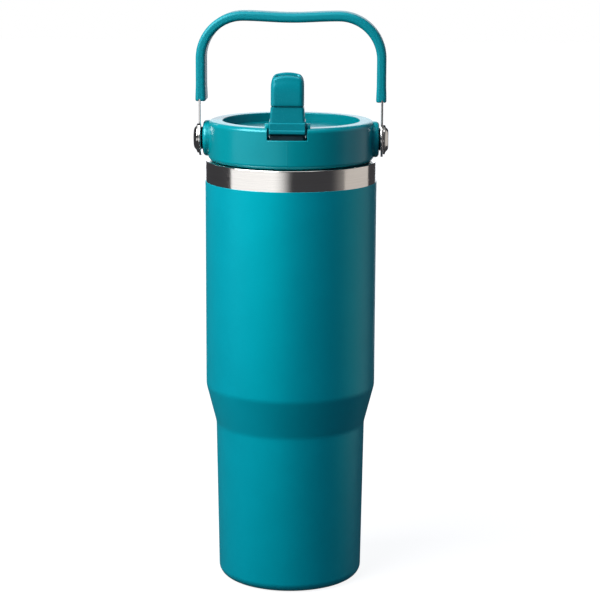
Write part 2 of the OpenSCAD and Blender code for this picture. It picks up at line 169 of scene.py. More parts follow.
def corner_arc(before, corner, after, steps=ROUND_STEPS):
    """The points of one corner, given as (u, v, radius), between its neighbours."""
    point = np.array(corner[:2], float)
    radius = corner[2] if len(corner) > 2 else 0
    if not radius:
        return [tuple(point)]
    u = np.array(before[:2], float) - point
    v = np.array(after[:2], float) - point
    u /= np.linalg.norm(u)
    v /= np.linalg.norm(v)
    half = math.acos(max(-1, min(1, float(u @ v)))) / 2
    centre = point + (u + v) / np.linalg.norm(u + v) * radius / math.sin(half)
    start = point + u * radius / math.tan(half) - centre
    end = point + v * radius / math.tan(half) - centre
    first = math.atan2(start[1], start[0])
    sweep = (math.atan2(end[1], end[0]) - first + math.pi) % (2 * math.pi) - math.pi
    angles = [first + sweep * i / steps for i in range(steps + 1)]
    return [(centre[0] + radius * math.cos(a), centre[1] + radius * math.sin(a)) for a in angles]


def rounded(corners, steps=ROUND_STEPS):
    """A closed outline of (u, v) or (u, v, radius) corners, with the ones that have a radius rounded."""
    n = len(corners)
    points = []
    for i in range(n):
        points += corner_arc(corners[i - 1], corners[i], corners[(i + 1) % n], steps)
    return points


def new_object(name, verts, faces):
    mesh = bpy.data.meshes.new(name)
    mesh.from_pydata([(x * MM, y * MM, z * MM) for x, y, z in verts], [], faces)
    bm = bmesh.new()
    bm.from_mesh(mesh)
    bmesh.ops.remove_doubles(bm, verts=bm.verts, dist=SAME_POINT)
    bmesh.ops.recalc_face_normals(bm, faces=bm.faces)
    bm.to_mesh(mesh)
    bm.free()
    obj = bpy.data.objects.new(name, mesh)
    bpy.context.scene.collection.objects.link(obj)
    return obj


def lathe(name, outline, place=None, turns=TURNS):
    """A closed (radius, height) outline turned round an axis; place(a, b, h) gives the point."""
    place = place or (lambda a, b, h: (a, b, h))
    verts, rings, faces = [], [], []
    for radius, height in outline:
        if radius < 1e-6:
            rings.append([len(verts)] * turns)
            verts.append(place(0, 0, height))
            continue
        rings.append(list(range(len(verts), len(verts) + turns)))
        for k in range(turns):
            angle = 2 * math.pi * (k + 0.5) / turns
            verts.append(place(radius * math.cos(angle), radius * math.sin(angle), height))
    for i, ring in enumerate(rings):
        after = rings[(i + 1) % len(rings)]
        for k in range(turns):
            j = (k + 1) % turns
            face = list(dict.fromkeys([ring[k], ring[j], after[j], after[k]]))
            if len(face) > 2:
                faces.append(face)
    return new_object(name, verts, faces)


def along_x(side, y, z):
    """Places a turned shape with its axis along +X or -X through (y, z)."""
    return lambda a, b, h: (side * h, y + a, z + b)


def along_y(y, z):
    """Places a turned shape with its axis along +Y, from y and at height z."""
    return lambda a, b, h: (a, y + h, z + b)


def upright(y):
    """Places a turned shape upright at x = 0 and the given y."""
    return lambda a, b, h: (a, y + b, h)


def rod(name, radius, h0, h1, place, turns=64):
    return lathe(name, [(0, h0), (radius, h0), (radius, h1), (0, h1)], place, turns)


def loft(name, rings):
    """Skins a row of rings with the same number of points, and caps both ends."""
    n = len(rings[0])
    verts = [p for ring in rings for p in ring]
    faces = []
    for a in range(0, len(verts) - n, n):
        for k in range(n):
            j = (k + 1) % n
            faces.append([a + k, a + j, a + n + j, a + n + k])
    faces.append(list(range(n)))
    faces.append(list(range(len(verts) - n, len(verts))))
    return new_object(name, verts, faces)


def block(name, lows, highs):
    """A box between two corners."""
    x0, y0, z0 = lows
    x1, y1, z1 = highs
    ring = [(x0, y0), (x1, y0), (x1, y1), (x0, y1)]
    return loft(name, [[(x, y, z) for x, y in ring] for z in (z0, z1)])


def combine(target, tool, operation):
    """Joins, cuts or keeps the overlap of two closed meshes, and removes the tool."""
    modifier = target.modifiers.new("combine", "BOOLEAN")
    modifier.operation = operation
    modifier.solver = "EXACT"
    modifier.object = tool
    graph = bpy.context.evaluated_depsgraph_get()
    mesh = bpy.data.meshes.new_from_object(target.evaluated_get(graph))
    target.modifiers.remove(modifier)
    old, tool_mesh = target.data, tool.data
    target.data = mesh
    bpy.data.objects.remove(tool)
    bpy.data.meshes.remove(old)
    bpy.data.meshes.remove(tool_mesh)


def add_shell(target, other):
    """Adds a closed mesh to another one as it is, as a shell of its own."""
    bm = bmesh.new()
    bm.from_mesh(target.data)
    bm.from_mesh(other.data)
    bm.to_mesh(target.data)
    bm.free()
    mesh = other.data
    bpy.data.objects.remove(other)
    bpy.data.meshes.remove(mesh)


def soften(obj, width, where):
    """Rounds the sharp edges for which where(x, y, z), in mm, is true at both ends."""
    bm = bmesh.new()
    bm.from_mesh(obj.data)
    bmesh.ops.remove_doubles(bm, verts=bm.verts, dist=CUT_GAP)
    edges = [
        e for e in bm.edges
        if len(e.link_faces) == 2
        and e.calc_face_angle(0) > math.radians(SHARP_ANGLE)
        and all(where(*(v.co / MM)) for v in e.verts)
    ]
    bmesh.ops.bevel(
        bm, geom=edges, offset=width * MM, offset_type="OFFSET", segments=3,
        profile=0.5, affect="EDGES", clamp_overlap=False,
    )
    bmesh.ops.remove_doubles(bm, verts=bm.verts, dist=CUT_GAP)
    bm.to_mesh(obj.data)
    bm.free()


def weld(obj):
    """Merges the vertices that a boolean leaves on top of each other."""
    bm = bmesh.new()
    bm.from_mesh(obj.data)
    bmesh.ops.remove_doubles(bm, verts=bm.verts, dist=WELD_GAP)
    bmesh.ops.dissolve_degenerate(bm, edges=bm.edges, dist=SAME_POINT)
    bm.to_mesh(obj.data)
    bm.free()


def smooth(obj, angle):
    """Shades the faces smooth, but keeps the edges that are sharper than the angle."""
    for polygon in obj.data.polygons:
        polygon.use_smooth = True
    obj.data.set_sharp_from_angle(angle=math.radians(angle))
    modifier = obj.modifiers.new("weighted normals", "WEIGHTED_NORMAL")
    modifier.keep_sharp = True
    modifier.weight = 80


# ------------------------------------------------------------------ materials


class Graph:
    """A short way to write node materials."""

    def __init__(self, name):
        self.material = bpy.data.materials.new(name)
        self.material.use_nodes = True
        self.tree = self.material.node_tree
        self.tree.nodes.clear()

    def add(self, kind, inputs=None, **settings):
        """A new node; an input is either another node's output or a plain value."""
        node = self.tree.nodes.new("ShaderNode" + kind)
        for key, value in settings.items():
            setattr(node, key, value)
        for key, value in (inputs or {}).items():
            socket = node.inputs[key]
            if isinstance(value, bpy.types.NodeSocket):
                self.tree.links.new(value, socket)
            else:
                socket.default_value = value
        return node

    def math(self, operation, a, b=0.0):
        """One step of arithmetic; b is left out for a step that takes one value."""
        return self.add("Math", {0: a, 1: b}, operation=operation).outputs[0]

    def place(self, scale=(1, 1, 1)):
        """The object's own coordinates in metres, times a scale."""
        coords = self.add("TexCoord").outputs["Object"]
        return self.add("Mapping", {"Vector": coords, "Scale": scale}).outputs[0]

    def noise(self, scale, detail, vector=None):
        """Noise with about this many features to the metre."""
        inputs = {"Vector": vector or self.place(), "Scale": scale, "Detail": detail, "Roughness": 0.5}
        return self.add("TexNoise", inputs).outputs["Fac"]

    def spread(self, value, lowest, highest, start, end):
        """Maps value from start..end onto lowest..highest."""
        inputs = {0: value, 1: start, 2: end, 3: lowest, 4: highest}
        return self.add("MapRange", inputs).outputs[0]

    def mix(self, factor, a, b):
        """A colour between a and b."""
        return self.add("Mix", {0: factor, 6: a, 7: b}, data_type="RGBA").outputs[2]

    def bump(self, height, distance, normal=None):
        """Relief of the given depth in metres, on top of another one if there is one."""
        inputs = {"Height": height, "Distance": distance, "Strength": 1.0}
        if normal is not None:
            inputs["Normal"] = normal
        return self.add("Bump", inputs).outputs[0]

    def axis(self, name):
        """One of the object's own coordinates, in metres."""
        split = self.add("SeparateXYZ", {0: self.add("TexCoord").outputs["Object"]})
        return split.outputs[name]

    def shade(self, **inputs):
        """Ends the graph in a Principled shader; an underscore in a name stands for a space."""
        renamed = {key.replace("_", " "): value for key, value in inputs.items()}
        surface = self.add("BsdfPrincipled", renamed).outputs[0]
        self.add("OutputMaterial", {"Surface": surface})
        return self.material


def rgba(r, g, b):
    return (r, g, b, 1.0)


def scaled(colour, factor):
    """A colour made darker or lighter."""
    return rgba(*[c * factor for c in colour])


def coating(name, colour, roughness, grain_scale, grain_depth):
    """Satin teal, powder coat or moulded plastic: grain, faint mottling, specks and smudges."""
    g = Graph(name)
    mottle = g.noise(55, 3)
    grain = g.noise(grain_scale, 3)
    speck = g.noise(grain_scale * 2.3, 1)
    base = g.mix(g.spread(mottle, 0, 1, 0.35, 0.65), scaled(colour, 0.97), scaled(colour, 1.02))
    base = g.mix(g.spread(speck, 0, 0.12, 0.5, 0.8), base, scaled(colour, 0.7))
    smudge = g.noise(24, 2, g.place((1, 1, 0.5)))
    rough = g.math("ADD", g.spread(smudge, -0.012, 0.015, 0.35, 0.7), roughness)
    rough = g.math("ADD", rough, g.spread(grain, -0.02, 0.02, 0.3, 0.7))
    return g, base, rough, g.bump(grain, grain_depth)


def finish_coating(g, base, rough, normal, specular, sheen, ior=1.5):
    """Ends a coating; sheen tints what it reflects."""
    return g.shade(
        Base_Color=base, Roughness=rough, Normal=normal, IOR=ior,
        **{"Specular IOR Level": specular, "Specular Tint": sheen},
    )


TEAL = (0.0, 0.232, 0.292)
LID_TEAL = (0.0, 0.186, 0.212)
SPOUT_TEAL = (0.0, 0.158, 0.190)
GRIP_TEAL = (0.0, 0.170, 0.202)
WORN_TEAL = rgba(0.05, 0.32, 0.36)
SHEEN = rgba(0.0, 0.86, 0.88)
PALE_SHEEN = rgba(0.3, 0.9, 1.0)


def powder_coat_material():
    g, base, rough, normal = coating("powder_coat", TEAL, 0.38, 1500, 0.00006)
    # rubbed coat where the bottle stands
    near_floor = g.spread(g.axis("Z"), 1, 0, 0, 0.0012)
    patches = g.spread(g.noise(260, 4), 0, 0.8, 0.45, 0.6)
    base = g.mix(g.math("MULTIPLY", near_floor, patches), base, WORN_TEAL)
    return finish_coating(g, base, rough, normal, 0.55, SHEEN, ior=2.1)


def lid_material():
    g, base, rough, normal = coating("lid_plastic", LID_TEAL, 0.23, 2600, 0.00002)
    # the mould's parting line down the front
    centre = g.spread(g.math("ABSOLUTE", g.axis("X")), 1, 0, 0, 0.00018)
    front = g.spread(g.axis("Y"), 1, 0, -0.042, -0.0415)
    normal = g.bump(g.math("MULTIPLY", centre, front), 0.00008, normal)
    return finish_coating(g, base, rough, normal, 0.6, PALE_SHEEN)


def moulded_material(name, colour, roughness):
    return finish_coating(*coating(name, colour, roughness, 2400, 0.000025), 0.5, PALE_SHEEN)


def turned_steel(name, colour, roughness, brush, axis="Z"):
    """Steel with fine and broad marks that run round the given axis; brush deepens them."""
    g = Graph(name)
    scale = {"X": (1, 0.02, 0.02), "Z": (0.02, 0.02, 1)}[axis]
    fine = g.noise(9000, 2, g.place(scale))
    broad = g.noise(1400, 2, g.place(scale))
    smudge = g.noise(40, 3)
    base = g.mix(g.spread(broad, 0, 1, 0.3, 0.7), scaled(colour, 0.93), rgba(*colour))
    rough = g.math("ADD", g.spread(smudge, -0.03, 0.04, 0.35, 0.65), roughness)
    rough = g.math("ADD", rough, g.spread(fine, -0.03, 0.03, 0.3, 0.7))
    normal = g.bump(fine, 0.000004 * brush)
    normal = g.bump(broad, 0.000008 * brush, normal)
    return g.shade(Base_Color=base, Metallic=1.0, Roughness=rough, Normal=normal)


def strip_steel():
    """Tumbled strip: a soft all-over grain with small dings."""
    g = Graph("strap_steel")
    grain = g.noise(3000, 3)
    dings = g.add("TexVoronoi", {"Vector": g.place(), "Scale": 700.0}).outputs["Distance"]
    base = g.mix(g.spread(grain, 0, 1, 0.3, 0.7), rgba(0.74, 0.74, 0.74), rgba(0.86, 0.86, 0.85))
    rough = g.spread(grain, 0.14, 0.22, 0.3, 0.7)
    normal = g.bump(grain, 0.00001)
    normal = g.bump(g.spread(dings, 0, 1, 0, 0.12), 0.000012, normal)
    return g.shade(Base_Color=base, Metallic=1.0, Roughness=rough, Normal=normal)


def rubber(name, colour, roughness):
    """Silicone or nylon with a fine grain and patches of dust."""
    g = Graph(name)
    grain = g.noise(2200, 3)
    dust = g.noise(120, 4)
    dusty = rgba(*[c * 1.8 + 0.01 for c in colour])
    base = g.mix(g.spread(dust, 0, 0.35, 0.5, 0.75), rgba(*colour), dusty)
    rough = g.math("ADD", g.spread(dust, -0.06, 0.06, 0.35, 0.65), roughness)
    return g.shade(
        Base_Color=base, Roughness=rough, Normal=g.bump(grain, 0.00002), **{"Specular IOR Level": 0.2}
    )


def clear_plastic(name, colour, roughness):
    """Translucent tube with faint drawing lines along its length."""
    g = Graph(name)
    lines = g.noise(2600, 2, g.place((1, 1, 0.02)))
    haze = g.noise(60, 3)
    base = g.mix(g.spread(haze, 0, 1, 0.35, 0.65), scaled(colour, 0.9), rgba(*colour))
    rough = g.spread(haze, roughness - 0.05, roughness + 0.07, 0.35, 0.65)
    return g.shade(
        Base_Color=base, Roughness=rough, Normal=g.bump(lines, 0.00001),
        **{"Transmission Weight": 0.55, "IOR": 1.45},
    )


def knurled_brass():
    """Slightly tarnished brass with slanting ridges."""
    g = Graph("insert_brass")
    wave = g.add("TexWave", {"Vector": g.place(), "Scale": 260.0}, bands_direction="DIAGONAL")
    tarnish = g.noise(400, 4)
    base = g.mix(g.spread(tarnish, 0, 1, 0.35, 0.7), rgba(0.62, 0.44, 0.17), rgba(0.40, 0.26, 0.10))
    rough = g.spread(tarnish, 0.25, 0.45, 0.35, 0.7)
    return g.shade(Base_Color=base, Metallic=1.0, Roughness=rough, Normal=g.bump(wave.outputs["Fac"], 0.0001))


def grainy(name, colour, roughness, metallic):
    """Sintered metal and fused glass: pitted and uneven."""
    g = Graph(name)
    pits = g.add("TexVoronoi", {"Vector": g.place(), "Scale": 1800.0}).outputs["Distance"]
    cloud = g.noise(500, 3)
    base = g.mix(g.spread(cloud, 0, 1, 0.35, 0.65), scaled(colour, 0.7), rgba(*colour))
    rough = g.spread(cloud, roughness - 0.08, roughness + 0.08, 0.35, 0.65)
    return g.shade(Base_Color=base, Metallic=metallic, Roughness=rough, Normal=g.bump(pits, 0.00005))


MATERIALS = {
    "powder_coat": powder_coat_material(),
    "body_steel": turned_steel("body_steel", (0.80, 0.775, 0.745), 0.13, 1.0),
    "base_steel": turned_steel("base_steel", (0.66, 0.65, 0.63), 0.30, 3.0),
    "sealing_glass": grainy("sealing_glass", (0.07, 0.05, 0.04), 0.22, 0.0),
    "getter_metal": grainy("getter_metal", (0.30, 0.29, 0.28), 0.55, 1.0),
    # near-black silicone tinted teal; on the spout's seal this dark is partly painted shade for the shaded gap
    # under the barrel
    "silicone": rubber("silicone", (0.002, 0.016, 0.022), 0.62),
    "lid_plastic": lid_material(),
    "clear_plastic": clear_plastic("clear_plastic", (0.86, 0.90, 0.90), 0.2),
    "straw_plastic": clear_plastic("straw_plastic", (0.74, 0.86, 0.88), 0.28),
    "insert_brass": knurled_brass(),
    "polished_steel": turned_steel("polished_steel", (0.72, 0.71, 0.69), 0.10, 0.5, "X"),
    "spout_plastic": moulded_material("spout_plastic", SPOUT_TEAL, 0.26),
    "black_nylon": rubber("black_nylon", (0.010, 0.010, 0.011), 0.42),
    "strap_steel": strip_steel(),
    "grip_plastic": moulded_material("grip_plastic", GRIP_TEAL, 0.42),
}


def dress(obj, slot):
    """Gives an object the material of its slot and no other."""
    obj.data.materials.clear()
    obj.data.materials.append(MATERIALS[slot])


def finished(obj, body, slot, node, angle=SHADE_ANGLE):
    """Smooths and paints a new piece, and hands it to its body in place of the named node."""
    weld(obj)
    smooth(obj, angle)
    dress(obj, slot)
    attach(obj, body)
    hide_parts(node)


# ------------------------------------------------------------------ vessel


def side(inset, corner, floor_z):
    """The body's side from the floor to above the taper, moved in by inset."""
    return [
        (BASE_R - inset, floor_z, corner),
        (FOOT_R - inset, TAPER_LOW_Z, TAPER_BLEND),
        (body_r - inset, TAPER_HIGH_Z, TAPER_BLEND),
    ]


def make_vessel():
    inner = PAINT_T - FIT
    coat = [(RING_R, 0, RING_EDGE_R)] + side(0, CORNER_R, 0)
    coat += [(body_r, paint_z, PAINT_EDGE_R), (body_r - inner, paint_z)]
    coat += side(inner, CORNER_R - inner, inner)[::-1] + [(RING_R, inner)]
    finished(lathe("body_powder_coat", rounded(coat, 10)), "vessel", "powder_coat", "powder_coat")

    steel_t = PAINT_T + SHELL_T
    mouth_r = body_r - steel_t - VACUUM_GAP + FIT
    shell = [(RING_R, PAINT_T)] + side(PAINT_T, CORNER_R - PAINT_T, PAINT_T)
    shell += [(steel_r, rim_z, RIM_ROUND), (mouth_r, rim_z)]
    shell += [(mouth_r, rim_z - SHELL_T), (body_r - steel_t, rim_z - SHELL_T)]
    shell += side(steel_t, CORNER_R - steel_t, steel_t)[::-1] + [(RING_R, steel_t)]
    finished(lathe("body_steel_shell", rounded(shell, 8)), "vessel", "body_steel", "outer_shell")


# ------------------------------------------------------------------ lid


NEAR_X, NEAR_Z = 0.15, 0.1


def near_notch(x, y, z):
    """The edges of the notch that a finger or the eye meets: its sides, and its floor at the front."""
    sides = abs(abs(x) - NOTCH_HALF) < NEAR_X and z > NOTCH_Z - NEAR_Z and y < CHANNEL_START_Y
    floor = abs(x) < NOTCH_HALF + NEAR_X and abs(z - NOTCH_Z) < NEAR_Z and y < LID_FRONT_Y
    return sides or floor


def cap_outline():
    return rounded([
        (PLUG_R + FIT, lid_z),
        (lid_r, lid_z, LID_FOOT_R),
        (lid_r, LID_TOP_Z, LID_EDGE_R),
        (RECESS_R, LID_TOP_Z, RECESS_LIP_R),
        (RECESS_R, RECESS_Z - FOOT_GROOVE_D, FOOT_GROOVE_R),
        (RECESS_R - FOOT_GROOVE_W, RECESS_Z - FOOT_GROOVE_D, FOOT_GROOVE_R),
        (RECESS_R - FOOT_GROOVE_W, RECESS_Z, 0.2),
        (0, RECESS_Z),
        (0, DECK_UNDER_Z),
        (PLUG_IN_R, DECK_UNDER_Z, DECK_UNDER_R),
        (PLUG_IN_R, PLUG_TOP_Z + FIT),
        (PLUG_R + FIT, PLUG_TOP_Z + FIT),
    ])


def lid_additions():
    """The bosses of the handle, and the walls round the drink's way under the deck."""
    root = PLUG_R + 1
    outline = rounded([(0, root), (BOSS_R, root), (BOSS_R, boss_x, BOSS_EDGE), (0, boss_x)])
    for s in (-1, 1):
        yield lathe("boss", outline, along_x(s, 0, pivot_z), 128)
    duct_low = (-DUCT_HALF, DUCT_START_Y, PLUG_TOP_Z + 0.3)
    yield block("duct", duct_low, (DUCT_HALF, DUCT_END_Y, DECK_UNDER_Z + 0.4))
    yield rod("socket", SOCKET_R, SOCKET_Z, DECK_UNDER_Z + 0.5, upright(STRAW_Y))


def channel_tools():
    """The channel itself, and then the round lip of its three edges on the recess floor."""
    start = (-NOTCH_HALF, -lid_r - PAST, NOTCH_Z)
    yield block("channel", start, (NOTCH_HALF, CHANNEL_END_Y, ABOVE_Z))
    steps = 5
    lip = []
    for k in range(steps + 1):
        turn = math.pi / 2 * k / steps
        out = NOTCH_EDGE * (1 - math.cos(turn)) - 0.01
        x0, y0, y1 = NOTCH_HALF + out, CHANNEL_START_Y, CHANNEL_END_Y + out
        z = RECESS_Z - NOTCH_EDGE * (1 - math.sin(turn))
        lip.append([(-x0, y0, z), (x0, y0, z), (x0, y1, z), (-x0, y1, z)])
    lip.append([(x, y, RECESS_Z + 2) for x, y, _ in lip[-1]])
    yield loft("lip", lip)


def lid_bores():
    """The insert bores, the seal's pocket, the drink's way from spout to stem, and the vent."""
    for s in (-1, 1):
        yield rod("bore", INSERT_BORE_R, INSERT_X, boss_x + 3, along_x(s, 0, pivot_z))
    w, d = SEAL_HALF_W, SEAL_HALF_D
    pocket = rounded([(x, y, SEAL_CORNER) for x, y in ((-w, -d), (w, -d), (w, d), (-w, d))])
    yield loft("pocket", [[(x, hinge_y + y, z) for x, y in pocket] for z in (SEAL_FOOT_Z, ABOVE_Z)])
    yield rod("bore", BORE_R, DUCT_Z, SEAL_FOOT_Z + 1, upright(hinge_y))
    yield rod("bore", BORE_R, 0, STRAW_Y - hinge_y, along_y(hinge_y, DUCT_Z), SMALL_TURNS)
    yield rod("bore", STEM_BORE_R, lid_z - 1, STEM_BORE_Z, upright(STRAW_Y))
    yield rod("bore", BORE_R, STEM_BORE_Z - 0.4, DUCT_Z, upright(STRAW_Y))
    yield rod("bore", VENT_R, DECK_UNDER_Z - 1, ABOVE_Z, upright(VENT_Y), 24)


def hinge_shells(s):
    """The web, the foot and the ear at one end of the hinge, each a closed shell of its own."""
    y0, y1 = hinge_y - WEB_HALF, hinge_y + WEB_HALF
    x0, x1 = sorted((s * WEB_IN_X, s * WEB_OUT_X))
    yield block("web", (x0, y0, WEB_LOW_Z), (x1, y1, WEB_TOP_Z))
    x0, x1 = sorted((s * FOOT_IN_X, s * FOOT_OUT_X))
    yield block("foot", (x0, y0, FOOT_LOW_Z), (x1, y1, FOOT_TOP_Z))
    bore_r = HINGE_PIN_R + FIT
    ear = rounded([
        (bore_r, EAR_IN_X), (EAR_R, EAR_IN_X, 0.35), (EAR_R, EAR_END_X, 0.5),
        (0, EAR_END_X), (0, PIN_END_X + FIT), (bore_r, PIN_END_X + FIT),
    ], 5)
    yield lathe("ear", ear, along_x(s, hinge_y, hinge_z), SMALL_TURNS)


def make_lid():
    cap = lathe("lid_cap_moulding", cap_outline())
    for part in lid_additions():
        combine(cap, part, "UNION")
    for tool in channel_tools():
        combine(cap, tool, "DIFFERENCE")
    soften(cap, NOTCH_EDGE, near_notch)
    for tool in lid_bores():
        combine(cap, tool, "DIFFERENCE")
    for s in (-1, 1):
        for shell in hinge_shells(s):
            add_shell(cap, shell)
    finished(cap, "lid", "lid_plastic", "lid_cap")


# ------------------------------------------------------------------ spout

# heights are above the hinge axis, and fronts and backs are before and behind it
ARM_HALF, MOUTH_HALF = 8.6, 8.2
STEP_H, MOUTH_H = 10.2, 27.2
# the mouthpiece's top: a dome across it with round shoulders, and a slant down to the front
DOME_R, SHOULDER_R = 20, 2.6
TOP_SLANT = 1.9
ARM_FRONT, ARM_BACK, ARM_CORNER = -4.1, 3.2, 1.3
# (height, half width), and for the mouthpiece (height, front, back)
ARM_SIDES = ((0, ARM_HALF), (4.4, ARM_HALF), (6.2, 8.52), (8.4, 8.36), (9.6, 8.26), (10.1, MOUTH_HALF))
UNDERCUT = 0.3
MOUTH_CORNER = 2.2
MOUTH_DEPTHS = (
    (13, -4.95, 3.15), (16, -4.98, 3.05), (19, -4.95, 2.9),
    (21.5, -4.75, 2.8), (23.5, -4.45, 2.7), (25, -4.2, 2.62),
)
LIP_FRONT, LIP_BACK = -4.1, 2.6
LIP_R = 1.1
BARREL_R, BARREL_EDGE = 4.6, 0.5
# the barrel's front as (y, z, radius) from the hinge axis, from the arm down to a ledge over the seal
BARREL_FRONT = ((-3.9, 2.7), (-4.62, 2.05, 0.2), (-4.62, -1.1, 0.15), (-5.0, -1.5, 0.25), (-5.0, -3.0, 0.6))


def blend_at(value, start, end):
    """0 before start, 1 after end, and a smooth step between."""
    t = max(0.0, min(1.0, (value - start) / (end - start)))
    return t * t * (3 - 2 * t)


def plan(half, front, back, radius):
    """A rounded rectangle in plan, with points along its front and back edges too."""
    along = [half * f for f in (0.66, 0.44, 0.22, 0, -0.22, -0.44, -0.66)]
    corners = [(half, front, radius), (half, back, radius)] + [(x, back) for x in along]
    corners += [(-half, back, radius), (-half, front, radius)] + [(x, front) for x in along[::-1]]
    return rounded(corners)


def spout_ring(height, half, front, back, radius, inset=0.0):
    """One level of the spout; towards the top it takes the dome and the slant of the lip."""
    dome = blend_at(height, STEP_H, MOUTH_H)
    slant = TOP_SLANT * blend_at(height, MOUTH_H - 8, MOUTH_H)
    ring = []
    for x, y in plan(half - inset, front + inset, back - inset, max(0.15, radius - inset)):
        beyond = min(SHOULDER_R * 0.99, max(0, abs(x) - MOUTH_HALF + SHOULDER_R))
        drop = DOME_R - math.sqrt(DOME_R**2 - x * x) + SHOULDER_R - math.sqrt(SHOULDER_R**2 - beyond**2)
        drop = dome * drop + slant * (LIP_BACK - y) / (LIP_BACK - LIP_FRONT)
        ring.append((x, hinge_y + y, hinge_z + height - drop))
    return ring


def spout_rings():
    """The levels of the spout, from inside the barrel over the lip and down into the opening."""
    rings = [spout_ring(h, half, ARM_FRONT, ARM_BACK, ARM_CORNER) for h, half in ARM_SIDES]
    # the undercut line, then the mouthpiece that stands forward of it
    for h in (10.25, 10.7):
        rings.append(spout_ring(h, MOUTH_HALF - UNDERCUT, ARM_FRONT + 0.4, ARM_BACK, 1.4))
    rings.append(spout_ring(10.85, MOUTH_HALF - 0.08, -4.7, ARM_BACK, 1.8))
    rings.append(spout_ring(11.2, MOUTH_HALF, -4.92, ARM_BACK, 2.1))
    rings += [spout_ring(h, MOUTH_HALF, front, back, MOUTH_CORNER) for h, front, back in MOUTH_DEPTHS]
    for k in range(1, 7):
        turn = math.radians(15 * k)
        inset = LIP_R * (1 - math.cos(turn))
        height = MOUTH_H - LIP_R + LIP_R * math.sin(turn)
        rings.append(spout_ring(height, MOUTH_HALF, LIP_FRONT, LIP_BACK, MOUTH_CORNER, inset))
    opening = (
        (0.05, 6.4, -2.6, 1.3, 1.9), (0.35, 6.05, -2.3, 1.0, 1.6), (1.4, 5.85, -2.2, 0.9, 1.5),
        (9, 5.0, -2.3, 0.9, 1.4), (12, 1.9, -2.0, 0.7, 0.6),
    )
    rings += [spout_ring(MOUTH_H - depth, *shape) for depth, *shape in opening]
    return rings


def hinge_barrel():
    """The barrel along X with its round ends; its back is an arc about the hinge axis."""
    curve = [
        (BARREL_R * math.cos(math.radians(a)), BARREL_R * math.sin(math.radians(a)))
        for a in range(-132, 61, 12)
    ]
    outline = rounded([*BARREL_FRONT, *curve, (-3.9, 3.2)], 4)
    rings = []
    for s in (-1, 1):
        shoulders = []
        for k in range(6):
            turn = math.radians(18 * k)
            shrink = 1 - BARREL_EDGE * (1 - math.sin(turn)) / BARREL_R
            x = barrel_half - BARREL_EDGE + BARREL_EDGE * math.cos(turn)
            shoulders.append([(s * x, hinge_y + y * shrink, hinge_z + z * shrink) for y, z in outline])
        rings += shoulders if s < 0 else shoulders[::-1]
    return loft("barrel", rings)


def make_spout():
    spout = loft("flip_spout_moulding", spout_rings())
    combine(spout, hinge_barrel(), "UNION")
    bore_top = hinge_z + MOUTH_H - 11
    combine(spout, rod("bore", BORE_R, hinge_z - 10, bore_top, upright(hinge_y), SMALL_TURNS), "DIFFERENCE")
    for s in (-1, 1):
        ends = barrel_half - 3, barrel_half + 4
        combine(spout, rod("bore", HINGE_PIN_R + 0.05, *ends, along_x(s, hinge_y, hinge_z), 32), "DIFFERENCE")
    finished(spout, "spout", "spout_plastic", "spout", 38)


# ------------------------------------------------------------------ pivots

BOLT_TIP_X = INSERT_X + 0.6
BOLT_THREAD_R, BOLT_SHOULDER_R = 2.45, 3.94
HEAD_X = strap_x1 + 0.04
WASHER_BORE_R = 3.99


def bolt_outline():
    """Thread, shoulder, and a head with a rim, a fine groove and a dome."""
    return rounded([
        (0, BOLT_TIP_X),
        (BOLT_THREAD_R, BOLT_TIP_X, 0.4),
        (BOLT_THREAD_R, boss_x),
        (BOLT_SHOULDER_R, boss_x),
        (BOLT_SHOULDER_R, HEAD_X),
        (bolt_r, HEAD_X, 0.25),
        (bolt_r, HEAD_X + 1.0, 0.35),
        (bolt_r - 0.7, HEAD_X + 1.35, 0.2),
        (bolt_r - 0.85, HEAD_X + 1.2, 0.12),
        (bolt_r - 1.1, HEAD_X + 1.3, 0.1),
        (bolt_r - 2.6, bolt_x - 0.12, 2.2),
        (0, bolt_x),
    ])


def make_pivots():
    washer_outline = rounded([
        (WASHER_BORE_R, washer_x0, 0.1), (washer_r, washer_x0, 0.22),
        (washer_r, washer_x1, 0.22), (WASHER_BORE_R, washer_x1, 0.1),
    ], 4)
    for s, name in ((-1, "left"), (1, "right")):
        place = along_x(s, 0, pivot_z)
        bolt = lathe(f"pivot_bolt_polished_{name}", bolt_outline(), place, 128)
        finished(bolt, "lid", "polished_steel", f"pivot_bolt_{name}", FINE_SHADE_ANGLE)
        washer = lathe(f"pivot_washer_{name}", washer_outline, place, 96)
        finished(washer, "lid", "black_nylon", f"washer_{name}", FINE_SHADE_ANGLE)


# ------------------------------------------------------------------ handle

CORNER_X = grip_x - GRIP_CORNER_R
CORNER_Z = grip_top_z - GRIP_CORNER_R
GRIP_MID = grip_x - GRIP_T / 2
END_ROUND, END_FLARE = 0.8, 0.24
STRAP_MID = strap_x1 - STRAP_T / 2
STRAP_HOLE_R = 4.0
# where the strap's round eye has run into the strip, and how softly it does
EYE_END, EYE_BLEND = 14, 0.6
# the strap's slot in the grip, and the chamfered mouth at its end, from the strap's middle
SLOT_FIT = 0.06
SLOT_MOUTH = ((-0.95, -0.4), (0.95, -0.4), (0.3, 1.25), (-0.3, 1.25))


def handle_path(mid_x, levels):
    """The middle line from the right leg over the top to the left leg, as (x, z)."""
    r = mid_x - CORNER_X
    right = [(mid_x, z) for z in levels if z < CORNER_Z - 0.5]
    right += [
        (CORNER_X + r * math.cos(a), CORNER_Z + r * math.sin(a))
        for a in np.linspace(0, math.pi / 2, 29)
    ]
    bar = [
        (x, CORNER_Z + r - GRIP_DIP * (1 + math.cos(math.pi * x / CORNER_X)) / 2)
        for x in np.linspace(CORNER_X, -CORNER_X, 49)[1:-1]
    ]
    return right + bar + [(-x, z) for x, z in right[::-1]]


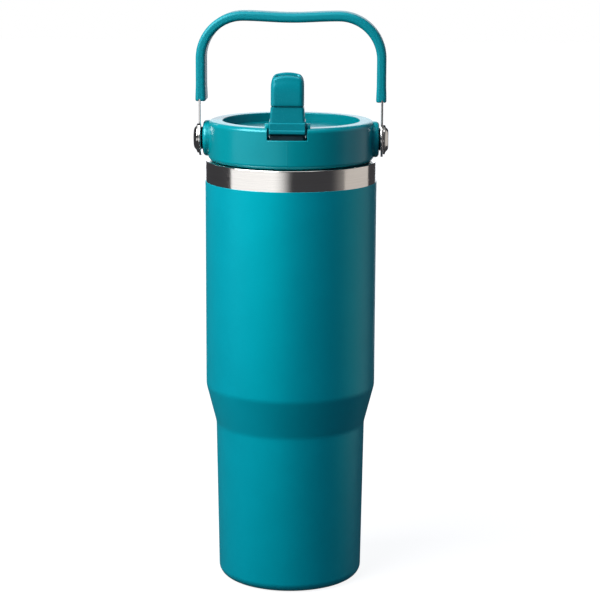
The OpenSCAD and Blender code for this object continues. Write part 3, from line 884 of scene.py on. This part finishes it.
def sweep(name, path, section_at):
    """Carries a section of (out, y) points, which may change with z, along a path in the XZ plane."""
    points = np.array(path)
    steps = np.gradient(points, axis=0)
    steps[0], steps[-1] = points[1] - points[0], points[-1] - points[-2]
    steps /= np.linalg.norm(steps, axis=1)[:, None]
    rings = []
    for (x, z), (step_x, step_z) in zip(path, steps):
        rings.append([(x + step_z * out, y, z - step_x * out) for out, y in section_at(z)])
    return loft(name, rings)


def box_section(thick, wide, radius, steps=6):
    t, w = thick / 2, wide / 2
    return rounded([(a, b, radius) for a, b in ((t, -w), (t, w), (-t, w), (-t, -w))], steps)


def grip_section(z):
    """The grip's section: a little wider and then rounded off towards its lower ends."""
    over = z - grip_low_z
    flare = END_FLARE * (1 - blend_at(over, 1, 9))
    inset = 0.0
    if over < END_ROUND:
        inset = END_ROUND - math.sqrt(max(0, END_ROUND**2 - (END_ROUND - over) ** 2))
    thick, wide = GRIP_T + 2 * (flare - inset), grip_w + 2 * (flare * 0.4 - inset)
    return box_section(thick, wide, max(0.5, GRIP_EDGE - inset))


def strap_half_width(z):
    """Half the strap's width: a round eye at the pivot that runs into the straight strip."""
    strip = STRAP_W / 2
    if z >= pivot_z + EYE_END:
        return strip
    eye = math.sqrt(max(0.0, strap_end_r**2 - (z - pivot_z) ** 2))
    if z <= pivot_z:
        return eye
    return (eye + strip + math.sqrt((eye - strip) ** 2 + EYE_BLEND**2)) / 2


def strap_section(z):
    half = max(0.35, strap_half_width(z))
    return box_section(STRAP_T, 2 * half, min(0.28, half * 0.6), 4)


def make_grip():
    ends = [grip_low_z + END_ROUND * (1 - math.cos(a)) for a in np.linspace(0, math.pi / 2, 7)]
    levels = ends + [grip_low_z + d for d in (1.5, 2.5, 3.5, 5, 6.5, 8, 9.5, 11, 13, 15, 17, 19, 21)]
    grip = sweep("handle_grip_overmould", handle_path(GRIP_MID, levels), grip_section)
    slot_path = handle_path(STRAP_MID, [grip_low_z + d for d in (-3, 6, 12)])
    slot = box_section(STRAP_T + SLOT_FIT, STRAP_W + SLOT_FIT, 0.2, 3)
    combine(grip, sweep("slot", slot_path, lambda z: slot), "DIFFERENCE")
    for s in (-1, 1):
        mouth = [(s * STRAP_MID + dx, grip_low_z + dz) for dx, dz in SLOT_MOUTH]
        cutter = loft("notch", [[(x, y, z) for x, z in mouth] for y in (-grip_w, grip_w)])
        combine(grip, cutter, "DIFFERENCE")
    finished(grip, "handle", "grip_plastic", "handle_grip", FINE_SHADE_ANGLE)


def make_strap():
    eye = [pivot_z - strap_end_r * math.cos(a) for a in np.linspace(0, math.pi * 0.78, 40)]
    levels = eye + [pivot_z + d for d in (8, 9.5, 11, EYE_END, 20, 30, 40)]
    strap = sweep("handle_steel_strap", handle_path(STRAP_MID, sorted(levels)), strap_section)
    for s in (-1, 1):
        ends = STRAP_MID - 3, STRAP_MID + 3
        combine(strap, rod("hole", STRAP_HOLE_R, *ends, along_x(s, 0, pivot_z)), "DIFFERENCE")
    finished(strap, "handle", "strap_steel", "handle_strap", FINE_SHADE_ANGLE)


make_vessel()
make_lid()
make_spout()
make_pivots()
make_grip()
make_strap()

SLOTS = {part["node"]: part["material_slot"] for part in frame["record"]["subparts"]}
for node, obj in frame["nodes"].items():
    dress(obj, SLOTS[node])

# ------------------------------------------------------------------ floor, light and camera


def polar(azimuth, distance, height):
    """A point round the bottle, in metres; azimuth 0 is in front of it and 90 to its right."""
    a = math.radians(azimuth)
    return Vector((distance * math.sin(a), -distance * math.cos(a), height))


def fade_across(light, start, end):
    """Lets a light fall to nothing from one part of its width to another."""
    light.use_nodes = True
    nodes, links = light.node_tree.nodes, light.node_tree.links
    across = nodes.new("ShaderNodeSeparateXYZ")
    links.new(nodes.new("ShaderNodeNewGeometry").outputs["Parametric"], across.inputs[0])
    ramp = nodes.new("ShaderNodeMapRange")
    ramp.interpolation_type = "SMOOTHSTEP"
    links.new(across.outputs["X"], ramp.inputs[0])
    for index, value in enumerate((start, end, 1.0, 0.0), 1):
        ramp.inputs[index].default_value = value
    links.new(ramp.outputs[0], nodes["Emission"].inputs["Strength"])


def panel(name, span, distance, height, tall, radiance, aim, colour=(1, 1, 1), fade=None, width=None):
    """A soft box facing the bottle's axis at the height aim, hidden from the camera itself.

    Its width is what spans the two azimuths, unless a width is given.
    """
    azimuth = (span[0] + span[1]) / 2
    width = width or 2 * distance * math.tan(math.radians(span[1] - span[0]) / 2)
    light = bpy.data.lights.new(name, "AREA")
    light.shape = "RECTANGLE"
    light.size, light.size_y = width, tall
    light.color = colour
    light.energy = radiance * math.pi * width * tall
    if fade:
        fade_across(light, *fade)
    obj = bpy.data.objects.new(name, light)
    obj.location = polar(azimuth, distance, height)
    obj.rotation_euler = (Vector((0, 0, aim)) - obj.location).to_track_quat("-Z", "Y").to_euler()
    obj.visible_camera = False
    bpy.context.scene.collection.objects.link(obj)


# degrees and metres; the camera's pitch, yaw and roll turn it from looking level at the axis
CAMERA_AZIMUTH, CAMERA_DISTANCE, CAMERA_HEIGHT = 2.8, 1.0, 0.35234
CAMERA_PITCH, CAMERA_YAW, CAMERA_ROLL = 11.562, 0.280, 0.24
LENS = 117.28
FLOOR_HALF = 4000
# what the room sends to matt surfaces, to reflections and to the camera
FILL = rgba(0.07, 0.14, 0.28)
DARK_ROOM = rgba(0.05, 0.05, 0.055)
WHITE = rgba(1, 1, 1)
COOL, WARM = (0.92, 0.94, 1.0), (1.0, 0.93, 0.86)


def make_camera():
    camera = bpy.data.cameras.new("camera")
    camera.lens = LENS
    camera.sensor_width = 36
    obj = bpy.data.objects.new("camera", camera)
    obj.location = polar(CAMERA_AZIMUTH, CAMERA_DISTANCE, CAMERA_HEIGHT)
    turn = math.radians(CAMERA_AZIMUTH - CAMERA_YAW)
    facing = Matrix.Rotation(turn, 3, "Z") @ Matrix.Rotation(math.radians(90 - CAMERA_PITCH), 3, "X")
    obj.rotation_euler = (facing @ Matrix.Rotation(math.radians(CAMERA_ROLL), 3, "Z")).to_euler()
    bpy.context.scene.collection.objects.link(obj)
    bpy.context.scene.camera = obj


def make_floor():
    """Pale paper: the camera sees it shine white, and the bottle only gets a dim bounce from it."""
    half = FLOOR_HALF
    corners = [(-half, -half, 0), (half, -half, 0), (half, half, 0), (-half, half, 0)]
    floor = new_object("floor", corners, [(0, 1, 2, 3)])
    g = Graph("floor_paper")
    seen = g.add("LightPath").outputs["Is Camera Ray"]
    place = g.add("TexCoord").outputs["Object"]
    away = g.add("VectorMath", {0: place}, operation="LENGTH").outputs["Value"]
    glow = g.add("Emission", {"Strength": g.spread(away, 0.9, 1.0, 0.15, 1.1)}).outputs[0]
    matte = g.add("BsdfDiffuse", {"Color": rgba(0.14, 0.14, 0.14)}).outputs[0]
    both = g.add("AddShader", {0: glow, 1: matte}).outputs[0]
    bounce = g.add("BsdfDiffuse", {"Color": rgba(0.1, 0.1, 0.1)}).outputs[0]
    surface = g.add("MixShader", {0: seen, 1: bounce, 2: both}).outputs[0]
    g.add("OutputMaterial", {"Surface": surface})
    floor.data.materials.append(g.material)
    floor.visible_glossy = False


def make_world():
    world = bpy.data.worlds.new("studio")
    world.use_nodes = True
    tree = world.node_tree
    tree.nodes.clear()
    path = tree.nodes.new("ShaderNodeLightPath")
    surface = None
    for ray, colour in ((None, FILL), ("Is Glossy Ray", DARK_ROOM), ("Is Camera Ray", WHITE)):
        layer = tree.nodes.new("ShaderNodeBackground")
        layer.inputs["Color"].default_value = colour
        if surface is None:
            surface = layer.outputs[0]
            continue
        mix = tree.nodes.new("ShaderNodeMixShader")
        tree.links.new(path.outputs[ray], mix.inputs[0])
        tree.links.new(surface, mix.inputs[1])
        tree.links.new(layer.outputs[0], mix.inputs[2])
        surface = mix.outputs[0]
    out = tree.nodes.new("ShaderNodeOutputWorld")
    tree.links.new(surface, out.inputs[0])
    bpy.context.scene.world = world


make_floor()
make_world()
make_camera()
panel("key", (-84, -12), 0.6, 0.77, 0.56, 13.5, aim=0.55, fade=(0.7, 1.0))
panel("card", (-84, 5), 1.0, 0.1, 0.3, 1.18, aim=0.1, fade=(0.66, 1.0))
panel("back", (163, 197), 1.4, 0.42, 1.3, 1.6, aim=0.42, colour=COOL)
panel("strip", (78, 128), 1.0, 0.32, 1.2, 0.6, aim=0.32, colour=WARM)
panel("strip_edge", (56, 78), 1.0, 0.32, 1.2, 0.2, aim=0.32, colour=WARM, fade=(1.0, 0.0))
panel("top", (-20, 20), 0.01, 1.5, 1.1, 1.5, aim=0, width=1.1)

scene = bpy.context.scene
scene.view_settings.view_transform = "Standard"
scene.view_settings.look = "None"
scene.view_settings.exposure = 0
scene.view_settings.gamma = 1
